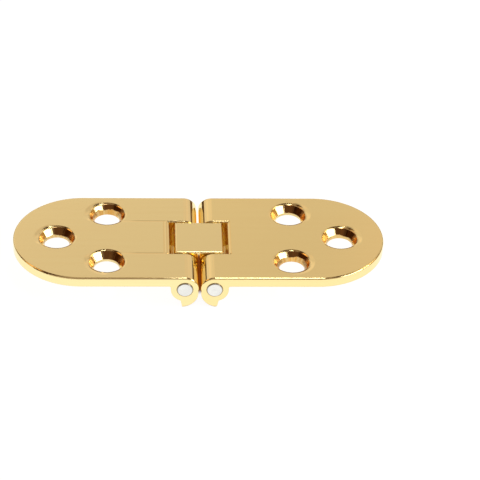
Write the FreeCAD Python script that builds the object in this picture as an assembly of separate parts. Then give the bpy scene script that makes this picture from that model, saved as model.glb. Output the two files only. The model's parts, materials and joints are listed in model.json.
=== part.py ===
import FreeCAD, Part
import math
import os

# A flap hinge for a table top, in millimetres, lying open.
# Two cast leaves lie in line. Each turns on its own pin in the link between them,
# so that they fold up and over until their top faces meet.
# X runs along the length, Y along the pins and Z up. The origin is under the middle,
# on the surface that the tips of the cams stand on.

# Leaf plates
length = 78.0            # over both rounded ends
width = 29.0             # along the pins
plate_thick = 2.1
rim_round = 0.4          # top edge all along the outline

# Knuckles, and the cams on them that stop a leaf from drooping
knuckle_radius = 2.92    # the top face runs on into it without a step
knuckle_gap = 0.32       # between the knuckles of the two leaves
knuckle_edge = 0.25      # broken edge of the knuckles next to the link
root_fillet = 0.45       # where the knuckle meets the plate below
cam_start = 17.0         # angles turn down from the side that faces the other leaf
cam_tip = 97.0
cam_foot = 107.0
cam_rise = 1.5           # from the knuckle to the tip of the cam
left_tip_round = 0.12
right_tip_round = 0.45   # this leaf's cams are cast blunter

# Pins, pressed into the knuckles and free in the link
pin_radius = 1.65
pin_proud = 0.22         # each end stands out of its knuckle
pin_chamfer = 0.16
pin_clearance = 0.05     # radial, in the link
bore_chamfer = 0.1

# Link
link_width = 10.7        # along the pins
link_reach = 2.02        # of its square end past the pin's axis
link_corner = 0.5        # at the ends of its top face
link_edge = 0.35         # along its side faces, above and below
link_sunk = 0.17         # of its round ends below the knuckles

# Pocket in each leaf, and the cradle that closes it below
side_gap = 0.3           # beside the link
turn_gap = 0.15          # past the circle that the link's corner sweeps
mouth_gap = 0.25         # from the foot of the knuckle's fillet to the pocket's edge
mouth_bevel = 0.5        # broken edge of the mouth, across
mouth_slope = 30.0       # of that edge, degrees from level
cradle_wall = 0.85
cradle_end = 125.0       # degrees, as the cam's

# Screw holes
screw_radius = 2.65
sink_radius = 3.9        # of the cone at the top face
sink_angle = 76.0
lip_width = 0.25         # soft edge round the cone, polished away
lip_depth = 0.09
outer_hole_inset = 9.2   # from the round end
pair_hole_inset = 19.7
pair_edge_inset = 6.1    # from the long edges

# What follows from them
up = FreeCAD.Vector(0, 0, 1)
back = FreeCAD.Vector(0, 1, 0)
far_side = 180.0         # degrees, the side of an axis away from the other leaf
cam_reach = knuckle_radius + cam_rise
axis_z = cam_reach * math.sin(math.radians(cam_tip))
axis_x = knuckle_radius + knuckle_gap / 2
top_z = axis_z + knuckle_radius
under_z = top_z - plate_thick
end_radius = width / 2
mouth_x = axis_x + knuckle_radius + root_fillet + mouth_gap
link_radius = knuckle_radius - link_sunk
pocket_width = link_width + 2 * side_gap
corner_out = link_reach - link_corner
corner_up = knuckle_radius - link_corner
pocket_radius = math.hypot(corner_out, corner_up) + link_corner + turn_gap
past = 1.0               # how far a cutter runs past a face
close = 0.001            # nearer than this is the same place


def point(x, z, y=0.0):
    return FreeCAD.Vector(x, y, z)


def polar(radius, angle):
    # a place about the right pin's axis, its angle turning down from the facing side
    turn = math.radians(angle)
    return point(axis_x - radius * math.cos(turn), axis_z - radius * math.sin(turn))


def arc(start, middle, end):
    return Part.Arc(start, middle, end).toShape()


def line(start, end):
    return Part.LineSegment(start, end).toShape()


def prism(edges, y_low, y_high):
    # an outline drawn in the plane y = 0, made solid between two places along Y
    face = Part.Face(Part.Wire(edges))
    face.translate(back * y_low)
    return face.extrude(back * (y_high - y_low))


def rod(radius, y_low, y_high, x):
    return Part.makeCylinder(radius, y_high - y_low, point(x, axis_z, y_low), back)


def polygon(corners):
    return [line(a, b) for a, b in zip(corners, corners[1:] + corners[:1])]


def spread(edge, share):
    # the point a share of the way along an edge
    low, high = edge.ParameterRange
    return edge.valueAt(low + share * (high - low))


def edges_where(shape, test):
    # the edges that keep to a rule at both ends and in between
    return [e for e in shape.Edges if all(test(spread(e, s)) for s in (0.02, 0.35, 0.65, 0.98))]


def near(a, b):
    return abs(a - b) < close


# Leaf: the plate and the knuckles
def plate():
    # the whole width outside the pocket's mouth, and the middle from there to the axis
    straight_end = length / 2 - end_radius
    half = pocket_width / 2
    front_in = point(mouth_x, under_z, -end_radius)
    front_out = point(straight_end, under_z, -end_radius)
    back_out = point(straight_end, under_z, end_radius)
    back_in = point(mouth_x, under_z, end_radius)
    tip = point(length / 2, under_z)
    outline = [line(front_in, front_out), arc(front_out, tip, back_out),
               line(back_out, back_in), line(back_in, front_in)]
    outside = Part.Face(Part.Wire(outline)).extrude(up * plate_thick)
    middle = Part.makeBox(mouth_x - axis_x, pocket_width, plate_thick, point(axis_x, under_z, -half))
    return outside.fuse(middle)


def knuckle_outline():
    # from the top face round the side that faces the other leaf, the cam, and back under the plate
    fillet_up = under_z - root_fillet - axis_z
    fillet_out = math.sqrt((knuckle_radius + root_fillet) ** 2 - fillet_up ** 2)
    root_angle = far_side + math.degrees(math.atan2(fillet_up, fillet_out))
    root = polar(knuckle_radius, root_angle)
    fillet_centre = point(axis_x + fillet_out, under_z - root_fillet)
    underside = point(fillet_centre.x, under_z)
    inward = (root - fillet_centre).normalize() + (underside - fillet_centre).normalize()
    fillet_middle = fillet_centre + inward.normalize() * root_fillet
    cam_middle = (cam_start + cam_tip) / 2
    tip = polar(cam_reach, cam_tip)
    foot = polar(knuckle_radius, cam_foot)
    top = point(axis_x, top_z)
    return [arc(top, polar(knuckle_radius, (cam_start - 90) / 2), polar(knuckle_radius, cam_start)),
            arc(polar(knuckle_radius, cam_start), polar(knuckle_radius + cam_rise / 2, cam_middle), tip),
            line(tip, foot),
            arc(foot, polar(knuckle_radius, (cam_foot + root_angle) / 2), root),
            arc(root, fillet_middle, underside),
            line(underside, point(mouth_x, under_z)),
            line(point(mouth_x, under_z), point(mouth_x, top_z)),
            line(point(mouth_x, top_z), top)]


def knuckle(tip_round):
    # the one at the back, its face beside the link softened
    shape = prism(knuckle_outline(), pocket_width / 2, end_radius)
    tip = polar(cam_reach, cam_tip)
    tip_edges = edges_where(shape, lambda p: near(p.x, tip.x) and near(p.z, tip.z))
    shape = shape.makeFillet(tip_round, tip_edges)
    beside_link = edges_where(shape, lambda p: near(p.y, pocket_width / 2) and on_top_skin(p))
    return shape.makeChamfer(knuckle_edge, beside_link)


# Leaf: the pocket, and the cradle below it
def cradle():
    # round below the axis and upright above it, so that it draws out of its mould
    outside = pocket_radius + cradle_wall
    side = polar(outside, far_side)
    centre = polar(0, 0)
    high = top_z - plate_thick / 2
    outline = [line(centre, polar(outside, cradle_end)),
               arc(polar(outside, cradle_end), polar(outside, (cradle_end + far_side) / 2), side),
               line(side, point(side.x, high)),
               line(point(side.x, high), point(centre.x, high)),
               line(point(centre.x, high), centre)]
    half = pocket_width / 2 + cradle_wall
    return prism(outline, -half, half)


def pocket():
    half = pocket_width / 2
    wall_x = mouth_x - mouth_bevel
    wall_top = top_z - mouth_bevel * math.tan(math.radians(mouth_slope))
    corners = [point(0, top_z + past), point(mouth_x, top_z + past), point(mouth_x, top_z),
               point(wall_x, wall_top), point(wall_x, under_z), point(0, under_z)]
    return rod(pocket_radius, -half, half, axis_x).fuse(prism(polygon(corners), -half, half))


# Leaf: holes
def hole_places():
    outer = length / 2 - outer_hole_inset
    pair = length / 2 - pair_hole_inset
    aside = width / 2 - pair_edge_inset
    return [(outer, 0.0), (pair, aside), (pair, -aside)]


def screw_hole(x, y):
    # a turned cutter: shank, countersink and the soft lip round it
    slope = math.tan(math.radians(sink_angle / 2))
    low = under_z - past
    high = top_z + past
    shank_top = top_z - (sink_radius - screw_radius) / slope
    cone_top = sink_radius - lip_depth * slope
    lip = sink_radius + lip_width
    profile = [(0, low), (screw_radius, low), (screw_radius, shank_top), (cone_top, top_z - lip_depth),
               (lip, top_z), (lip, high), (0, high)]
    face = Part.Face(Part.Wire(polygon([point(x + out, z, y) for out, z in profile])))
    return face.revolve(point(x, 0, y), up, 360)


def pin_bore():
    face = width / 2
    mouth = pin_radius + bore_chamfer
    mouths = [Part.makeCone(mouth, pin_radius, bore_chamfer, point(axis_x, axis_z, -side * face), back * side)
              for side in (-1, 1)]
    return rod(pin_radius, -face - past, face + past, axis_x).fuse(mouths)


# Leaf: soft edges of the casting
def on_outline(p):
    # along the straight sides or round the end of the plate, seen from above
    straight_end = length / 2 - end_radius
    if p.x <= straight_end:
        return near(abs(p.y), end_radius)
    return near(math.hypot(p.x - straight_end, p.y), end_radius)


def on_top_skin(p):
    # on the flat top, or on the round of the knuckle above the cam
    if p.x >= axis_x:
        return near(p.z, top_z)
    facing = polar(knuckle_radius, cam_start)
    return near(math.hypot(p.x - axis_x, p.z - axis_z), knuckle_radius) and p.z > facing.z - close


def soften(leaf):
    rim = edges_where(leaf, lambda p: on_outline(p) and on_top_skin(p))
    return leaf.makeFillet(rim_round, rim)


def leaf(tip_round):
    # the right leaf, where it lies
    back_knuckle = knuckle(tip_round)
    front_knuckle = back_knuckle.mirror(point(0, 0), back)
    body = plate().fuse([back_knuckle, front_knuckle, cradle()]).removeSplitter()
    body = body.cut([pocket(), pin_bore()] + [screw_hole(x, y) for x, y in hole_places()])
    return soften(body.removeSplitter())


# Link
def side_view():
    # one end of its outline: top face, corner, a flank tangent to the round end, bottom face
    corner = point(axis_x + corner_out, top_z - link_corner)
    pin = point(axis_x, axis_z)
    between = math.degrees(math.atan2(corner_up, corner_out))
    lean = math.degrees(math.acos((link_radius - link_corner) / math.hypot(corner_out, corner_up)))
    flank = between - lean

    def about(centre, radius, angle, side):
        turn = math.radians(angle)
        return point(side * (centre.x + radius * math.cos(turn)), centre.z + radius * math.sin(turn))

    def end(side):
        start = about(corner, link_corner, 90, side)
        stop = about(pin, link_radius, -90, side)
        flank_high = about(corner, link_corner, flank, side)
        flank_low = about(pin, link_radius, flank, side)
        return start, stop, [arc(start, about(corner, link_corner, (90 + flank) / 2, side), flank_high),
                             line(flank_high, flank_low),
                             arc(flank_low, about(pin, link_radius, (flank - 90) / 2, side), stop)]

    right_start, right_stop, right = end(1)
    left_start, left_stop, left = end(-1)
    outline = Part.__sortEdges__(right + left + [line(left_start, right_start), line(right_stop, left_stop)])
    return prism(outline, -link_width / 2, link_width / 2)


def end_view():
    # its outline along X: an oblong, the long edges rounded
    reach = link_reach + axis_x + past
    height = knuckle_radius + link_radius
    box = Part.makeBox(2 * reach, link_width, height, point(-reach, axis_z - link_radius, -link_width / 2))
    return box.makeFillet(link_edge, edges_where(box, lambda p: abs(p.x) < reach - close))


def link():
    # what the two outlines have in common, bored for the pins
    half = link_width / 2
    bores = [rod(pin_radius + pin_clearance, -half - past, half + past, side * axis_x) for side in (-1, 1)]
    return side_view().common(end_view()).cut(bores)


# Pins
def pin(x):
    half = width / 2 + pin_proud
    body = rod(pin_radius, -half, half, x)
    ends = edges_where(body, lambda p: near(abs(p.y), half))
    return body.makeChamfer(pin_chamfer, ends)


def mirrored(shape):
    return shape.mirror(FreeCAD.Vector(0, 0, 0), FreeCAD.Vector(1, 0, 0))


nodes = {
    "left_leaf": mirrored(leaf(left_tip_round)),
    "right_leaf": leaf(right_tip_round),
    "link": link(),
    "left_pin": pin(-axis_x),
    "right_pin": pin(axis_x),
}

os.makedirs("parts", exist_ok=True)
for name, shape in nodes.items():
    shape.exportStep(os.path.join("parts", name + ".step"))
    box = shape.BoundBox
    print(name, "solids", len(shape.Solids), "valid", shape.isValid(), "volume", round(shape.Volume, 2),
          "z", round(box.ZMin, 3), round(box.ZMax, 3), "x", round(box.XMin, 2), round(box.XMax, 2))
print("pin axis at x", round(axis_x, 3), "z", round(axis_z, 3), "top face z", round(top_z, 3))
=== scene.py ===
# %% [markdown]
# # A gold-plated flap hinge for a table top
# The hinge lies open on white paper. Two polished castings turn on steel pins in a small link
# between them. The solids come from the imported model. This lesson gives them soft edges, a
# plated skin with the marks of its making, turned pins, and the light of a product picture.
# Polished metal has hardly a colour of its own: it shows its surroundings. So the studio comes
# first, and the plating after it.

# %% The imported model
import json
import math
import bpy
from mathutils import Matrix, Vector


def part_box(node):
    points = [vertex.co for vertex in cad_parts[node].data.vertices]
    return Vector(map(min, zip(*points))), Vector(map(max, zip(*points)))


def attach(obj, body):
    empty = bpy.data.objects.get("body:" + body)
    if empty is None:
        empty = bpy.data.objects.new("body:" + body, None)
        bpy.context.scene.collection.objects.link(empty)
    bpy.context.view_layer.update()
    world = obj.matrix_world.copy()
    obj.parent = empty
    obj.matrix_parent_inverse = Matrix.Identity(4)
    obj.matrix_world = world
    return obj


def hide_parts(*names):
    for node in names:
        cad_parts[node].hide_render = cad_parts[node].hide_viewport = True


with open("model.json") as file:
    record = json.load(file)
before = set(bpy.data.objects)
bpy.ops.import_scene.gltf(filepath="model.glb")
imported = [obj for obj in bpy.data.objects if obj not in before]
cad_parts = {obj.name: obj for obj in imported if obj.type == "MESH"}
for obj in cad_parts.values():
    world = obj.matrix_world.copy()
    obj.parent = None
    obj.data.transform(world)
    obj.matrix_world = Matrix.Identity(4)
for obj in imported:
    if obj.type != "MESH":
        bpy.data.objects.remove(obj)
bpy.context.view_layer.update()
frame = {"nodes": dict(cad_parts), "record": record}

MM = 0.001
print("nodes", sorted(frame["nodes"]))

# %% [markdown]
# ## Places to work from
# The screw holes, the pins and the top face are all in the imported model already. Reading them
# there is better than typing them again: when the casting changes, its marks follow it. Only the
# width of a countersink's mouth and the places round the link's pocket aren't in the record.

# %% Places read from the model
mounts = {mount["name"]: mount for mount in frame["record"]["mounts"]}
outer_x = mounts["right_outer_screw_hole"]["pos_m"][0]
pair_x, pair_y = mounts["right_back_screw_hole"]["pos_m"][:2]
shank_radius = mounts["right_outer_screw_hole"]["dims"]["r_mm"] * MM
shank_length = mounts["right_outer_screw_hole"]["dims"]["length_mm"] * MM
under_z = mounts["right_underside"]["pos_m"][2]
top_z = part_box("right_leaf")[1][2]
shank_top = under_z + shank_length
print("holes at", round(outer_x / MM, 2), "and", round(pair_x / MM, 2), round(pair_y / MM, 2))
print("top face", round(top_z / MM, 3), "underside", round(under_z / MM, 3))

# %% Places typed in
MOUTH_RADIUS = 3.9 * MM       # of a countersink, at the top face
NARROW_X = 6.4 * MM           # half the length of the narrow place round the link
NARROW_Y = 5.9 * MM           # half its width
MOUTH_X = 6.68 * MM           # from the middle to the broken edge of the pocket's mouth
SIDE_LINE_Y = 5.75 * MM       # the mould lines beside the pocket
END_LINE_X = 7.25 * MM        # the mould line across its end
print("cone from", round(top_z / MM, 2), "down to", round(shank_top / MM, 2))

# %% [markdown]
# ## Camera
# The picture was taken from the front, 36 degrees above the table, with a long lens about 57 cm
# away. A camera can be placed by its three axes and its place, which keeps the small roll that
# such a picture has. Angles typed into an Euler triple would say the same, less plainly.

# %% Camera
right = Vector((0.99904797, -0.0338738, 0.02749035))
above = Vector((-0.00227763, 0.58878928, 0.80828336))
ahead = Vector((0.04356565, 0.80757646, -0.58815159))
place = Vector((-16.164, -461.354, 342.611)) * MM

scene = bpy.context.scene
camera = bpy.data.objects.new("camera", bpy.data.cameras.new("camera"))
scene.collection.objects.link(camera)
scene.camera = camera
camera.data.sensor_width = 36.0
camera.data.lens = 203.303
camera.data.clip_start = 0.01
camera.data.clip_end = 20.0
axes = Matrix((right, above, -ahead)).transposed().to_4x4()
camera.matrix_world = Matrix.Translation(place) @ axes
scene.view_settings.view_transform = "Standard"
print("camera at", [round(v, 4) for v in place], "m")

# %% [markdown]
# ## Small helpers for node trees
# Materials, the sky and Geometry Nodes are all trees of nodes. One helper makes a node and
# fills its inputs, with a number or with a link from another node. The others do sums, soft
# steps and mixes, which most masks and colours are made of.


# %% Node helper
def node(tree, kind, inputs=None, **settings):
    made = tree.nodes.new(kind)
    for key, value in settings.items():
        setattr(made, key, value)
    for key, value in (inputs or {}).items():
        if isinstance(value, bpy.types.NodeSocket):
            tree.links.new(value, made.inputs[key])
        else:
            made.inputs[key].default_value = value
    return made


print("node helper ready")


# %% Helpers for sums
def maths(tree, operation, *values, clamp=False):
    inputs = dict(enumerate(values))
    made = node(tree, "ShaderNodeMath", inputs, operation=operation, use_clamp=clamp)
    return made.outputs[0]


def times(tree, *values):
    product = values[0]
    for value in values[1:]:
        product = maths(tree, "MULTIPLY", product, value)
    return product


def plus(tree, *values):
    total = values[0]
    for value in values[1:]:
        total = maths(tree, "ADD", total, value)
    return total


def vector_maths(tree, operation, *values):
    inputs = dict(enumerate(values))
    return node(tree, "ShaderNodeVectorMath", inputs, operation=operation).outputs


print("sums ready")


# %% Helpers for masks and mixes
def soft_step(tree, value, low, high, first=0.0, last=1.0):
    made = node(tree, "ShaderNodeMapRange", {0: value, 1: low, 2: high, 3: first, 4: last},
                interpolation_type="SMOOTHSTEP")
    return made.outputs[0]


def fade(tree, value, full, none):
    return soft_step(tree, value, full, none, 1.0, 0.0)


def between(tree, value, low, low_full, high_full, high):
    return times(tree, soft_step(tree, value, low, low_full), fade(tree, value, high_full, high))


# a Mix node has its own pair of inputs, and its own output, for each kind of data
MIX_SOCKETS = {"FLOAT": (2, 3, 0), "VECTOR": (4, 5, 1), "RGBA": (6, 7, 2)}


def mix(tree, kind, share, first, second):
    first_key, second_key, result = MIX_SOCKETS[kind]
    made = node(tree, "ShaderNodeMix", {0: share, first_key: first, second_key: second},
                data_type=kind)
    return made.outputs[result]


def object_place(tree):
    # where a point lies on the piece itself, so that its marks move with it
    spot = node(tree, "ShaderNodeTexCoord").outputs["Object"]
    return spot, node(tree, "ShaderNodeSeparateXYZ", {0: spot}).outputs


def on_top(tree, z):
    return soft_step(tree, z, top_z - 0.3 * MM, top_z - 0.1 * MM)


print("masks and mixes ready")

# %% [markdown]
# ## The room
# A polished top face shows one direction of the room only, so each tone on the hinge tells
# where a card or a dark gap stood. The cards could be planes with lamps on them. Painting them
# on the sky by direction is steadier and quicker, and a card's edge can be as soft as it needs.
# Each card here is a patch between two heights and two turns, in degrees.

# %% Directions in the room
world = bpy.data.worlds.new("studio")
scene.world = world
world.use_nodes = True
tree = world.node_tree
tree.nodes.clear()
direction = node(tree, "ShaderNodeTexCoord").outputs["Generated"]
dx, dy, dz = node(tree, "ShaderNodeSeparateXYZ", {0: direction}).outputs
height = maths(tree, "DEGREES", maths(tree, "ARCSINE", dz))
turn = maths(tree, "DEGREES", maths(tree, "ARCTAN2", dx, dy))    # 0 is back, 90 is right
aside = maths(tree, "ABSOLUTE", turn)
print("directions ready")

# %% [markdown]
# The flat tops mirror a warm grey card at the back, a little brighter at its left and at its
# foot. That foot ends above the table, and the dark strip under it draws the dark lines down
# the knuckles. A card in front and a ceiling keep the hinge readable from other sides. The far
# walls of the countersinks see the front card's upper half, so it is dim up there.

# %% Back, front and ceiling
back_card = times(tree, between(tree, height, 11, 16, 50, 60), fade(tree, aside, 46, 54),
                  soft_step(tree, height, 32, 39, 1.10, 0.96),
                  soft_step(tree, turn, -8, 16, 1.04, 0.88))
front_card = times(tree, between(tree, height, 3, 7, 58, 66), soft_step(tree, aside, 128, 140),
                   soft_step(tree, height, 33, 37, 1.0, 0.30))
ceiling = soft_step(tree, height, 68, 76)
colored = [((0.665, 0.590, 0.510), back_card), ((0.50, 0.43, 0.36), front_card),
           ((0.48, 0.41, 0.34), ceiling)]
print("large cards", len(colored))

# %% [markdown]
# Each side has two small warm cards. The high ones give the side walls of the countersinks
# their orange and bright gold, and the low ones keep both sides of the room from going dark
# near the table. Between all cards is a dim brown room with soft blotches, since a real room is
# never one even tone.

# %% Side cards and the dim room
SIDE_CARDS = {    # colour, then the heights and turns where it starts, is full, and ends
    "left_high": ((1.90, 1.05, 0.36), (27, 31, 50, 56), (-101, -96, -72, -66)),
    "left_low": ((0.44, 0.34, 0.24), (3, 6, 13, 17), (-128, -120, -62, -54)),
    "right_high": ((2.3, 1.75, 1.0), (27, 31, 47, 52), (56, 63, 98, 104)),
    "right_low": ((0.42, 0.25, 0.10), (5, 9, 19, 25), (52, 58, 125, 132)),
}
for color, heights, turns in SIDE_CARDS.values():
    patch = times(tree, between(tree, height, *heights), between(tree, turn, *turns))
    colored.append((color, patch))
clutter = node(tree, "ShaderNodeTexNoise", {"Vector": direction, "Scale": 9.0, "Detail": 2.0})
room_color = mix(tree, "RGBA", soft_step(tree, clutter.outputs[0], 0.38, 0.68),
                 (0.030, 0.012, 0.004, 1), (0.15, 0.07, 0.028, 1))
for color, patch in colored:
    lit = node(tree, "ShaderNodeVectorMath", {0: color, "Scale": patch}, operation="SCALE")
    room_color = vector_maths(tree, "ADD", room_color, lit.outputs[0])[0]
print("room of", len(colored), "patches,", len(tree.nodes), "nodes")

# %% [markdown]
# The camera itself sees plain white past the paper's edge. Light Path tells camera rays from
# those that light or mirror the hinge, so that this white adds no light to the metal.

# %% White for the camera
path = node(tree, "ShaderNodeLightPath")
room = node(tree, "ShaderNodeBackground", {"Color": room_color, "Strength": 1.0})
white = node(tree, "ShaderNodeBackground", {"Color": (1, 1, 1, 1), "Strength": 1.0})
seen = node(tree, "ShaderNodeMixShader",
            {0: path.outputs["Is Camera Ray"], 1: room.outputs[0], 2: white.outputs[0]})
node(tree, "ShaderNodeOutputWorld", {0: seen.outputs[0]})
print("world", world.name)

# %% [markdown]
# ## The paper
# The hinge stands on a sheet of white paper. To the camera and to the metal it is white, with a
# little plain paper in it that takes the hinge's faint shadow. A flat mesh does, because a sheet
# of paper under a product has no folds to show.


# %% The sheet
def flat_sheet(name, half):
    corners = [(-half, -half, 0), (half, -half, 0), (half, half, 0), (-half, half, 0)]
    mesh = bpy.data.meshes.new(name)
    mesh.from_pydata(corners, [], [(0, 1, 2, 3)])
    made = bpy.data.objects.new(name, mesh)
    scene.collection.objects.link(made)
    return made


floor = flat_sheet("floor", 1.5)
print("paper", [round(v, 2) for v in floor.dimensions], "m")

# %% [markdown]
# Under the plates and between the knuckles the real sheet is dim and brown, because what light
# gets there has been mirrored by gold first. Ambient Occlusion measures how covered it is. It
# darkens what the metal mirrors, and under the link a strip is dim to the metal all along. For
# the camera it darkens only the strip between the knuckles, since the screw holes of the
# picture show clean white.

# %% Where the paper is dim
paper = bpy.data.materials.new("white_paper")
paper.use_nodes = True
tree = paper.node_tree
tree.nodes.clear()
path = node(tree, "ShaderNodeLightPath").outputs
spot, (x, y, z) = object_place(tree)
off_x = maths(tree, "ABSOLUTE", x)
off_y = maths(tree, "ABSOLUTE", y)
closeness = node(tree, "ShaderNodeAmbientOcclusion", {"Distance": 6 * MM}, samples=8)
covered = fade(tree, closeness.outputs["AO"], 0.45, 1.0)
beside = fade(tree, off_x, 2.8 * MM, 4.5 * MM)
# painted shadow: where the hinge covers the paper, its glow is dimmed and browned
strip = times(tree, beside, covered, fade(tree, off_y, 8.5 * MM, 10.5 * MM))
under_plates = times(tree, covered, soft_step(tree, off_y, 12.5 * MM, 14.5 * MM, 0.62, 0.0))
under_link = times(tree, beside, fade(tree, off_y, 14 * MM, 15 * MM))
mirrored = times(tree, path["Is Glossy Ray"], maths(tree, "MAXIMUM", under_plates, under_link))
shade = maths(tree, "MAXIMUM", strip, mirrored)
print("paper's shade", len(tree.nodes), "nodes")

# %% [markdown]
# Emission is what makes the paper an even white, whatever stands over it. Rays that only carry
# light to the hinge meet plain paper instead, so that its glow doesn't flood the metal. From
# below the paper is clear, and the underside can be looked at.

# %% The paper's material
WHITE = (0.95, 0.95, 0.95, 1)
# the colour of the painted shadow on the paper
PAINTED_SHADOW_BROWN = (0.16, 0.035, 0.003, 1)
shown = maths(tree, "MAXIMUM", path["Is Transmission Ray"],
              maths(tree, "MAXIMUM", path["Is Camera Ray"], path["Is Glossy Ray"]))
lit = mix(tree, "RGBA", shade, WHITE, PAINTED_SHADOW_BROWN)
glow = node(tree, "ShaderNodeEmission", {"Color": lit, "Strength": 1.0})
sheet = node(tree, "ShaderNodeBsdfDiffuse", {"Color": (0.16, 0.16, 0.16, 1)})
bright = node(tree, "ShaderNodeAddShader", {0: glow.outputs[0], 1: sheet.outputs[0]})
plain = node(tree, "ShaderNodeBsdfDiffuse", {"Color": (0.85, 0.85, 0.85, 1)})
both = node(tree, "ShaderNodeMixShader", {0: shown, 1: plain.outputs[0], 2: bright.outputs[0]})
from_below = node(tree, "ShaderNodeNewGeometry").outputs["Backfacing"]
clear = node(tree, "ShaderNodeBsdfTransparent")
one_way = node(tree, "ShaderNodeMixShader",
               {0: from_below, 1: both.outputs[0], 2: clear.outputs[0]})
node(tree, "ShaderNodeOutputMaterial", {0: one_way.outputs[0]})
floor.data.materials.append(paper)
print("material", paper.name, len(tree.nodes), "nodes")

# %% [markdown]
# ## Lamps
# Two soft boxes make the sharp highlights. The one at the right draws the white bands in the
# countersinks. The one overhead draws the bright line on the link's front edge and on the rim
# of the right plate, and fills the near walls of the holes by a second bounce. A plane with a
# glowing material would mirror as well, but an area lamp also gives clean, quick light.
# Narrow places such as the slots beside the link need many bounces before they turn brown.


# %% Soft boxes
def soft_box(name, at, size, strength, aim=(0, 0, 0.007)):
    lamp = bpy.data.lights.new(name, "AREA")
    lamp.shape = "RECTANGLE"
    lamp.size, lamp.size_y = size
    lamp.energy = strength * size[0] * size[1] * math.pi    # strength is what a mirror shows
    made = bpy.data.objects.new(name, lamp)
    scene.collection.objects.link(made)
    made.location = at
    made.rotation_euler = (Vector(at) - Vector(aim)).to_track_quat("Z", "Y").to_euler()
    made.visible_camera = False
    return made


right_box = soft_box("right_box", (0.54, -0.22, 0.36), (0.50, 0.26), 4.4)
top_box = soft_box("top_box", (0.058, 0.04, 0.57), (0.10, 0.22), 6.0, aim=(0.058, 0.04, 0))
scene.cycles.glossy_bounces = 14
scene.cycles.max_bounces = 16
print("lamps", right_box.name, top_box.name)

# %% [markdown]
# ## What the plating shares
# Both castings and the link went through the same hands: cast, polished on a wheel along their
# length, then plated. So the marks are built once, as groups, and each metal sets its own
# amounts. A group here only puts out masks, heights and normals.


# %% Helpers for groups
def new_group(name, inputs, outputs):
    made = bpy.data.node_groups.new(name, "ShaderNodeTree")
    for label, value in inputs.items():
        socket = made.interface.new_socket(label, in_out="INPUT", socket_type="NodeSocketFloat")
        socket.default_value = value
    for label, kind in outputs.items():
        made.interface.new_socket(label, in_out="OUTPUT", socket_type="NodeSocket" + kind)
    return made, node(made, "NodeGroupInput").outputs, node(made, "NodeGroupOutput").inputs


def put_out(group, gives, results):
    for label, value in results.items():
        group.links.new(value, gives[label])
    print("group", group.name, "puts out", ", ".join(results))


def use_group(tree, group, values=None):
    return node(tree, "ShaderNodeGroup", values, node_tree=group).outputs


print("group helpers ready")

# %% [markdown]
# ### Polishing
# The wheel ran along the hinge, so its faint streaks are long in X and fine in Y. Under them
# the skin of a casting is never quite flat. Noise in a stretched space gives the streaks, and
# a slow noise gives the waves that bend reflections a little.

# %% Polishing group
polish, given, gives = new_group("polishing", {}, {"Streaks": "Float", "Waves": "Float",
                                                   "Cloud": "Float"})
ALONG, ACROSS = 24.0, 950.0    # streaks to a metre
spot = object_place(polish)[0]
stretched = vector_maths(polish, "MULTIPLY", spot, (ALONG, ACROSS, ACROSS))[0]
streaks = node(polish, "ShaderNodeTexNoise", {"Vector": stretched, "Scale": 1.0, "Detail": 4.0,
                                              "Roughness": 0.6})
waves = node(polish, "ShaderNodeTexNoise", {"Vector": spot, "Scale": 110.0, "Detail": 1.5})
cloud = node(polish, "ShaderNodeTexNoise", {"Vector": spot, "Scale": 28.0, "Detail": 1.0})
put_out(polish, gives, {"Streaks": streaks.outputs[0], "Waves": waves.outputs[0],
                        "Cloud": cloud.outputs[0]})

# %% [markdown]
# ### Soft edges
# Tumbling and plating round every sharp edge by a tenth or two of a millimetre, and that thin
# round catches light. A bevel in the mesh would need thousands of small faces. The Bevel node
# bends the normals near an edge instead.

# %% Soft edge group
soft_edge, given, gives = new_group("soft_edges", {"Width": 0.22 * MM}, {"Normal": "Vector"})
rounded = node(soft_edge, "ShaderNodeBevel", {"Radius": given["Width"]}, samples=6)
put_out(soft_edge, gives, {"Normal": rounded.outputs[0]})

# %% [markdown]
# ### Screw holes
# The countersinks were cut after casting, so a hole has a turned cone at the top and a short
# straight band, left as cast, below it. Every hole is found by its distance from the three hole
# places, which the two leaves share mirrored. A wall's distance grows with height as the cone
# does, and that keeps the masks off the underside.

# %% The way from a hole's middle
sunk, given, gives = new_group(
    "screw_holes", {}, {"Cone": "Float", "Shank": "Float", "Marks": "Float", "Dish": "Float",
                        "Tall": "Float", "Dark Wall": "Float", "Inward": "Vector"})
spot, (x, y, z) = object_place(sunk)
side_x = maths(sunk, "SIGN", x)
side_y = maths(sunk, "SIGN", y)


def from_hole(centre_x, centre_y, place_y):
    off_x = maths(sunk, "SUBTRACT", maths(sunk, "ABSOLUTE", x), centre_x)
    off_y = maths(sunk, "SUBTRACT", place_y, centre_y)
    away = node(sunk, "ShaderNodeCombineXYZ", {0: off_x, 1: off_y}).outputs[0]
    return away, vector_maths(sunk, "LENGTH", away)["Value"]


outer_way, outer_far = from_hole(outer_x, 0.0, y)
pair_way, pair_far = from_hole(pair_x, pair_y, maths(sunk, "ABSOLUTE", y))
is_outer = maths(sunk, "LESS_THAN", outer_far, pair_far)
far = maths(sunk, "MINIMUM", outer_far, pair_far)
way = mix(sunk, "VECTOR", is_outer, pair_way, outer_way)
heading = vector_maths(sunk, "NORMALIZE", way)[0]
print("group", sunk.name, len(sunk.nodes), "nodes so far")

# %% [markdown]
# The picture's holes differ. The left leaf's back hole, the right leaf's front hole and, half as
# much, the two outer ones have a taller band with a ragged, chipped upper edge. The solids give
# all six holes the same cone, so a taller band is only painted, over the foot of its cone. A
# noise added to the height moves the band's edge up and down. Six different cones in the solids
# would be truer to this one hinge, but not to the part.

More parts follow.
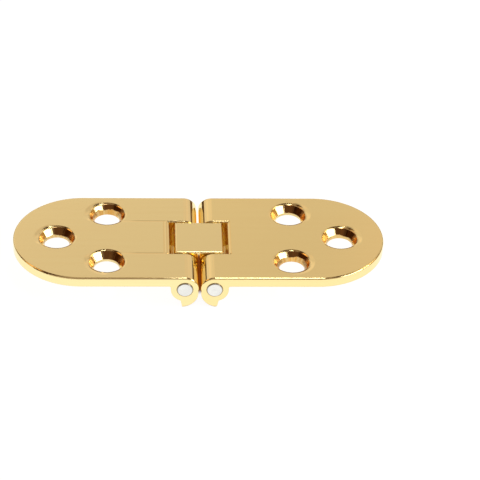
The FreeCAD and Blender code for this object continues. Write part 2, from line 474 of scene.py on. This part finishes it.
# %% Cone and band
CHIP_DEPTH = 1.0 * MM    # how far the noise moves the band's edge
BAND_RISE = 0.55 * MM    # how much higher the tallest band is painted
LEAST_CHIPS = 0.12       # what every band has of them
slope = (MOUTH_RADIUS - shank_radius) / (top_z - shank_top)
above_band = maths(sunk, "MAXIMUM", maths(sunk, "SUBTRACT", z, shank_top), 0.0)
wall = plus(sunk, shank_radius, times(sunk, slope, above_band))
within = fade(sunk, maths(sunk, "SUBTRACT", far, wall), 0.04 * MM, 0.12 * MM)
below_skin = fade(sunk, z, top_z - 0.26 * MM, top_z - 0.14 * MM)

in_pair = maths(sunk, "SUBTRACT", 1.0, is_outer)
tall = fade(sunk, times(sunk, side_x, side_y, in_pair), -0.8, 0.8)
wobble = node(sunk, "ShaderNodeTexNoise", {"Vector": spot, "Scale": 420.0, "Detail": 4.0})
chips = times(sunk, maths(sunk, "SUBTRACT", wobble.outputs[0], 0.5),
              plus(sunk, tall, LEAST_CHIPS), CHIP_DEPTH)
raised = times(sunk, tall, tall, BAND_RISE)
band_z = plus(sunk, maths(sunk, "SUBTRACT", z, raised), chips)
in_shank = times(sunk, within, fade(sunk, band_z, shank_top - 0.06 * MM, shank_top + 0.06 * MM))
in_cone = maths(sunk, "SUBTRACT", times(sunk, within, below_skin), in_shank, clamp=True)
print("cone's radius grows", round(slope, 3), "times its height")

# %% [markdown]
# The cutter chattered, so each cone has marks that run down its slope. The direction from the
# hole's middle, without its length, makes a noise that stays the same all the way down, and
# each hole's own shift keeps the six from being alike. The picture has a soft smudge outside
# each mouth, away from the hinge's middle. A polishing wheel that drags over a hole dishes the
# face like that, so a shallow dip makes the smudge.

# %% Tool marks and dish
DRAG_WAY = (0.86, 0.51, 0.0)         # from a hole, in the right leaf's back half
DISH_EDGE = MOUTH_RADIUS + 1.0 * MM
own_shift = node(sunk, "ShaderNodeCombineXYZ", {0: times(sunk, side_x, 7.0),
                                                1: times(sunk, side_y, 5.0), 2: is_outer})
around = vector_maths(sunk, "ADD", heading, own_shift.outputs[0])[0]
marks = node(sunk, "ShaderNodeTexNoise", {"Vector": around, "Scale": 5.0, "Detail": 4.0,
                                          "Roughness": 0.7})
outward = vector_maths(sunk, "DOT_PRODUCT", heading, DRAG_WAY)["Value"]
dish = times(sunk, fade(sunk, far, MOUTH_RADIUS, DISH_EDGE),
             soft_step(sunk, outward, 0.35, 1.0), on_top(sunk, z))
print("marks and dish ready")

# %% [markdown]
# In the picture the back right wall of each cone is dark brown, because it mirrors a dark part
# of the room. In this room it would mirror the card in front, which the other views need, and
# be too light. So it is tinted, a stand-in for that reflection, which stays on it when it is
# seen from other sides. A lobe about that direction marks it, in the hinge's own axes.
#
# The straight band is so short that the Bevel node rounds it away. It gets the normal of a
# straight wall back, which points at the hole's axis. The painted part of a tall band gets the
# same normal, so that it mirrors the paper as a straight wall would.

# %% Dark wall and the band's normal
BACK_RIGHT = (0.5, 0.866)    # 60 degrees from the hinge's length
hx, hy, hz = node(sunk, "ShaderNodeSeparateXYZ", {0: heading}).outputs
head_x = times(sunk, hx, side_x)
head_y = times(sunk, hy, mix(sunk, "FLOAT", is_outer, side_y, 1.0))
lobe = plus(sunk, times(sunk, head_x, BACK_RIGHT[0]), times(sunk, head_y, BACK_RIGHT[1]))
dark_wall = times(sunk, in_cone, soft_step(sunk, lobe, 0.66, 0.80))
to_axis = node(sunk, "ShaderNodeCombineXYZ", {0: times(sunk, head_x, -1.0),
                                              1: times(sunk, head_y, -1.0)})
inward = node(sunk, "ShaderNodeVectorTransform", {0: to_axis.outputs[0]},
              vector_type="NORMAL", convert_from="OBJECT", convert_to="WORLD")
put_out(sunk, gives, {"Cone": in_cone, "Shank": in_shank, "Marks": marks.outputs[0],
                      "Dish": dish, "Tall": tall, "Dark Wall": dark_wall,
                      "Inward": inward.outputs[0]})

# %% [markdown]
# ### The pocket
# The pocket round the link is too narrow for the wheel, so it keeps the matt skin of the mould
# under its plating, with a grain drawn out along the pins. A box about the middle of the hinge
# marks it. Inside it the plating is a deeper yellow, and the nooks at its two ends are duller:
# painted shade of light bounced between gold walls. Its brink at the top face is darker in the
# picture. The brink and the nooks have masks of their own.

# %% Pocket group
pocket, given, gives = new_group("as_cast", {"Half Width": NARROW_Y},
                                 {"Raw": "Float", "Grain": "Float", "Brink": "Float",
                                  "Nook Shade": "Float"})
spot, (x, y, z) = object_place(pocket)
off_x = maths(pocket, "ABSOLUTE", x)
inside_y = maths(pocket, "LESS_THAN", maths(pocket, "ABSOLUTE", y), given["Half Width"])
inside = times(pocket, maths(pocket, "LESS_THAN", off_x, NARROW_X), inside_y,
               maths(pocket, "LESS_THAN", z, top_z - 0.30 * MM))
drawn = vector_maths(pocket, "MULTIPLY", spot, (1.0, 0.12, 1.0))[0]
grain = node(pocket, "ShaderNodeTexNoise", {"Vector": drawn, "Scale": 1600.0, "Detail": 3.0})
from_edge = maths(pocket, "ABSOLUTE", maths(pocket, "SUBTRACT", off_x, MOUTH_X))
brink = times(pocket, fade(pocket, from_edge, 0.05 * MM, 0.17 * MM), inside_y,
              on_top(pocket, z))
# painted shade: the pocket is duller where it lies within 5.2 to 5.7 mm of the middle
nook_shade = times(pocket, inside, fade(pocket, off_x, 5.2 * MM, 5.7 * MM))
put_out(pocket, gives, {"Raw": inside, "Grain": grain.outputs[0], "Brink": brink, "Nook Shade": nook_shade})

# %% [markdown]
# ### Mould lines
# The left casting keeps two faint lines that run on from the pocket's long sides, and a short
# one across, where the mould's loose core met its body. They are grooves of a few hundredths of
# a millimetre: a mask along a line, used as a dip in the height, is enough.


# %% Mould lines on the left leaf
def line_at(tree, value, middle):
    off = maths(tree, "ABSOLUTE", maths(tree, "SUBTRACT", value, middle))
    return fade(tree, off, 0.04 * MM, 0.28 * MM)


def mould_lines(tree):
    spot, (x, y, z) = object_place(tree)
    off_y = maths(tree, "ABSOLUTE", y)
    side_line = times(tree, line_at(tree, off_y, SIDE_LINE_Y),
                      between(tree, x, -18.5 * MM, -12.5 * MM, -6.9 * MM, -6.7 * MM))
    end_line = times(tree, line_at(tree, x, -END_LINE_X), fade(tree, off_y, 5.7 * MM, 5.9 * MM))
    return times(tree, maths(tree, "MAXIMUM", side_line, end_line), on_top(tree, z))


print("mould lines ready")

# %% [markdown]
# ## Gold plate
# Gold's reflection is yellow because it swallows blue, and light that bounces twice or more
# between two golden walls turns orange and then brown. A metallic Principled shader does most
# of that by itself. The base colour adds the rest, matched to the picture: faint streaks, dull
# places in the holes, a deeper yellow and duller nooks in the raw pocket, which are painted
# shade of those bounces, and the dark walls of the cones, which stand in for a reflection.
# Heights are in hundredths of a millimetre.

# %% Colours of the plating
GOLD = (1.0, 0.84, 0.43, 1.0)
RED_GOLD = (1.0, 0.82, 0.395, 1.0)    # the right casting looks a shade redder
# besides real streaks, lines and bands, the duller colour also paints shade deep in the pocket
DULL_AND_SHADED = (0.86, 0.48, 0.12, 1.0)        # scratched or badly covered
# the deeper yellow inside the pocket is a painted shade of light bounced between gold walls
POCKET_SHADE_YELLOW = (1.0, 0.79, 0.18, 1.0)          # over the skin of the mould
DARK = (0.42, 0.21, 0.065, 1.0)       # the dark walls of the cones
print("five colours of gold")


# %% Gold plate
def hole_finish(tree, dull, heights, rough):
    # adds a hole's part to each list of amounts
    marks = use_group(tree, sunk)
    patches = plus(tree, 0.45, soft_step(tree, marks["Marks"], 0.40, 0.62))
    dull.append(times(tree, marks["Shank"], marks["Tall"], 0.85, patches))
    heights.append(times(tree, marks["Dish"], -14.0))
    heights.append(times(tree, marks["Marks"], marks["Cone"], 5.5))
    rough.append(times(tree, marks["Shank"], 0.12))
    rough.append(times(tree, marks["Cone"], -0.045))
    return marks


def gold_plate(name, plate, streak, wave, holes, scribed):
    made = bpy.data.materials.new(name)
    made.use_nodes = True
    tree = made.node_tree
    shader = tree.nodes["Principled BSDF"]
    shader.inputs["Metallic"].default_value = 1.0
    wheel = use_group(tree, polish)
    cast = use_group(tree, pocket, {"Half Width": NARROW_Y if holes else 0.0})
    facing = use_group(tree, soft_edge)["Normal"]
    dull = [times(tree, soft_step(tree, wheel["Streaks"], 0.35, 0.75), streak),
            times(tree, cast["Brink"], 0.35), times(tree, cast["Nook Shade"], 0.15)]
    heights = [times(tree, wheel["Streaks"], 0.02), times(tree, wheel["Waves"], wave),
               times(tree, cast["Grain"], cast["Raw"])]
    rough = [0.06, times(tree, wheel["Cloud"], 0.03), times(tree, cast["Raw"], 0.10)]
    if holes:
        marks = hole_finish(tree, dull, heights, rough)
    if scribed:
        line = scribed(tree)
        dull.append(times(tree, line, 0.20))
        heights.append(times(tree, line, -3.0))

    # inside the pocket the plating turns to that deeper yellow, a painted shade
    skin = mix(tree, "RGBA", cast["Raw"], plate, POCKET_SHADE_YELLOW)
    color = mix(tree, "RGBA", maths(tree, "MINIMUM", plus(tree, *dull), 1.0), skin, DULL_AND_SHADED)
    if holes:
        color = mix(tree, "RGBA", marks["Dark Wall"], color, DARK)
        facing = mix(tree, "VECTOR", marks["Shank"], facing, marks["Inward"])
    bump = node(tree, "ShaderNodeBump", {"Height": plus(tree, *heights), "Distance": 0.01 * MM,
                                         "Strength": 1.0, "Normal": facing})
    tree.links.new(color, shader.inputs["Base Color"])
    tree.links.new(plus(tree, *rough), shader.inputs["Roughness"])
    tree.links.new(bump.outputs[0], shader.inputs["Normal"])
    print("material", name, len(tree.nodes), "nodes")
    return made


# %% [markdown]
# The link has no holes and is polished all over, so it gets neither the holes' group nor the
# pocket's mask. Only the left leaf has the mould lines.

# %% Plating the three castings
finishes = {
    "left_leaf": gold_plate("gold_left_casting", GOLD, 0.05, 0.5, True, mould_lines),
    "right_leaf": gold_plate("gold_right_casting", RED_GOLD, 0.045, 0.5, True, None),
    "link": gold_plate("gold_link", GOLD, 0.03, 0.4, False, None),
}
for name, finish in finishes.items():
    mesh = frame["nodes"][name].data
    mesh.materials.clear()
    mesh.materials.append(finish)
print("plated", sorted(finishes))

# %% [markdown]
# ## Steel pins
# Each pin was cut from rod and its ends were turned: a flat face with fine rings, whose rim is
# rounded over. The end is a shape by rule, the same on both pins, so one Geometry Nodes tree
# makes them. A grid is bent round the axis: across the grid goes the angle, along it goes the
# profile, whose height follows a superellipse. A cylinder with a bevel would look the same from
# afar, but its cap would stay one flat face with no soft rim.

# %% Turned pin, its inputs and the grid
lathe = bpy.data.node_groups.new("turned_pin", "GeometryNodeTree")
lathe.interface.new_socket("Geometry", in_out="OUTPUT", socket_type="NodeSocketGeometry")
pin_inputs = {}
for label in ("Radius", "Half Length", "Rim", "Axis X", "Axis Z"):
    pin_inputs[label] = lathe.interface.new_socket(label, in_out="INPUT",
                                                   socket_type="NodeSocketFloat")
steel_input = lathe.interface.new_socket("Steel", in_out="INPUT",
                                         socket_type="NodeSocketMaterial")
given = node(lathe, "NodeGroupInput").outputs
AROUND, RUNGS = 97, 32    # points round the pin and along its profile
SQUARENESS = 9.0          # a higher power makes the rim's round tighter
grid = node(lathe, "GeometryNodeMeshGrid", {"Size X": 1.0, "Size Y": 1.0,
                                            "Vertices X": AROUND, "Vertices Y": RUNGS})
at = node(lathe, "GeometryNodeInputPosition").outputs[0]
gx, gy, gz = node(lathe, "ShaderNodeSeparateXYZ", {0: at}).outputs
print("grid", AROUND, "by", RUNGS)

# %% Turned pin, its profile
angle = times(lathe, gx, 2 * math.pi)
toward = times(lathe, gy, 2.0)    # -1 at the front end, 1 at the back end
lean = node(lathe, "ShaderNodeMapRange", {0: maths(lathe, "ABSOLUTE", toward),
                                          1: 1 / (RUNGS - 1), 2: 1.0, 3: math.pi / 2, 4: 0.0})
share = maths(lathe, "SINE", lean.outputs[0])
out = times(lathe, share, given["Radius"])
fall = maths(lathe, "SQRT", maths(lathe, "SUBTRACT", 1.0,
                                  maths(lathe, "POWER", share, SQUARENESS), clamp=True))
end_y = plus(lathe, maths(lathe, "SUBTRACT", given["Half Length"], given["Rim"]),
             times(lathe, fall, given["Rim"]))
spun = node(lathe, "ShaderNodeCombineXYZ", {
    0: plus(lathe, given["Axis X"], times(lathe, out, maths(lathe, "COSINE", angle))),
    1: times(lathe, end_y, maths(lathe, "SIGN", toward)),
    2: plus(lathe, given["Axis Z"], times(lathe, out, maths(lathe, "SINE", angle)))})
print("profile made of", len(lathe.nodes), "nodes so far")

# %% Turned pin, its skin
bent = node(lathe, "GeometryNodeSetPosition", {"Geometry": grid.outputs[0],
                                               "Position": spun.outputs[0]})
sewn = node(lathe, "GeometryNodeMergeByDistance", {"Geometry": bent.outputs[0],
                                                   "Distance": 0.002 * MM})
smooth = node(lathe, "GeometryNodeSetShadeSmooth", {"Geometry": sewn.outputs[0]})
real = node(lathe, "GeometryNodeRealizeInstances", {"Geometry": smooth.outputs[0]})
painted = node(lathe, "GeometryNodeSetMaterial", {"Geometry": real.outputs[0],
                                                  "Material": given["Steel"]})
node(lathe, "NodeGroupOutput", {0: painted.outputs[0]})
print("tree", lathe.name, len(lathe.nodes), "nodes")

# %% [markdown]
# The steel is duller than the gold. Its rings are a noise of the distance from the pin's axis,
# because a turning tool leaves rings of uneven depth, which a regular wave wouldn't show. The
# rim that was rounded over gets a painted shade, darker than the face, and a faint stain
# varies the rest.


# %% Steel for one pin
STEEL = (0.87, 0.88, 0.84, 1)
STAINED = (0.70, 0.70, 0.68, 1)
PAINTED_RIM_SHADE = (0.40, 0.37, 0.31, 1)
RINGS = 9000.0    # to a metre


def turned_steel(name, axis_x, axis_z, radius):
    made = bpy.data.materials.new(name)
    made.use_nodes = True
    tree = made.node_tree
    shader = tree.nodes["Principled BSDF"]
    shader.inputs["Metallic"].default_value = 1.0
    spot, (x, y, z) = object_place(tree)
    away = node(tree, "ShaderNodeCombineXYZ", {0: maths(tree, "SUBTRACT", x, axis_x),
                                               2: maths(tree, "SUBTRACT", z, axis_z)})
    far = vector_maths(tree, "LENGTH", away.outputs[0])["Value"]
    rings = node(tree, "ShaderNodeTexNoise", {"W": times(tree, far, RINGS), "Scale": 1.0,
                                              "Detail": 3.0}, noise_dimensions="1D").outputs[0]
    stain = node(tree, "ShaderNodeTexNoise", {"Vector": spot, "Scale": 700.0, "Detail": 3.0})
    stained = soft_step(tree, stain.outputs[0], 0.35, 0.75, 0.0, 0.35)
    color = mix(tree, "RGBA", stained, STEEL, STAINED)
    # painted shade: the rounded rim is darker than the face
    rim = soft_step(tree, far, radius * 0.84, radius * 0.97)
    color = mix(tree, "RGBA", rim, color, PAINTED_RIM_SHADE)
    bump = node(tree, "ShaderNodeBump", {"Height": rings, "Distance": 0.002 * MM,
                                         "Strength": 1.0})
    tree.links.new(color, shader.inputs["Base Color"])
    tree.links.new(plus(tree, 0.20, times(tree, rings, 0.10)), shader.inputs["Roughness"])
    tree.links.new(bump.outputs[0], shader.inputs["Normal"])
    return made


print("steel ready")


# %% Both pins
RIM_ROUND = 0.20 * MM


def turned_pin(name, replaced, body):
    low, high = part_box(replaced)
    middle = (Vector(low) + Vector(high)) / 2
    radius = (high[0] - low[0]) / 2
    steel = turned_steel("steel_" + name, middle.x, middle.z, radius)
    holder = bpy.data.objects.new(name + "_tree", bpy.data.meshes.new(name + "_tree"))
    scene.collection.objects.link(holder)
    modifier = holder.modifiers.new("turned_pin", "NODES")
    modifier.node_group = lathe
    sizes = {"Radius": radius, "Half Length": (high[1] - low[1]) / 2, "Rim": RIM_ROUND,
             "Axis X": middle.x, "Axis Z": middle.z}
    for label, value in sizes.items():
        modifier[pin_inputs[label].identifier] = value
    modifier[steel_input.identifier] = steel
    ready = holder.evaluated_get(bpy.context.evaluated_depsgraph_get())
    mesh = bpy.data.meshes.new_from_object(ready)
    holder.modifiers.clear()
    bpy.data.objects.remove(holder)
    mesh.name = name
    piece = bpy.data.objects.new(name, mesh)
    scene.collection.objects.link(piece)
    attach(piece, body)
    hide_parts(replaced)
    corners = [v.co for v in mesh.vertices]
    spans = [round((max(c[i] for c in corners) - min(c[i] for c in corners)) / MM, 3)
             for i in range(3)]
    print(name, len(mesh.polygons), "faces, spans in mm", spans)


turned_pin("left_turned_pin", "left_pin", "left_leaf")
turned_pin("right_turned_pin", "right_pin", "right_leaf")
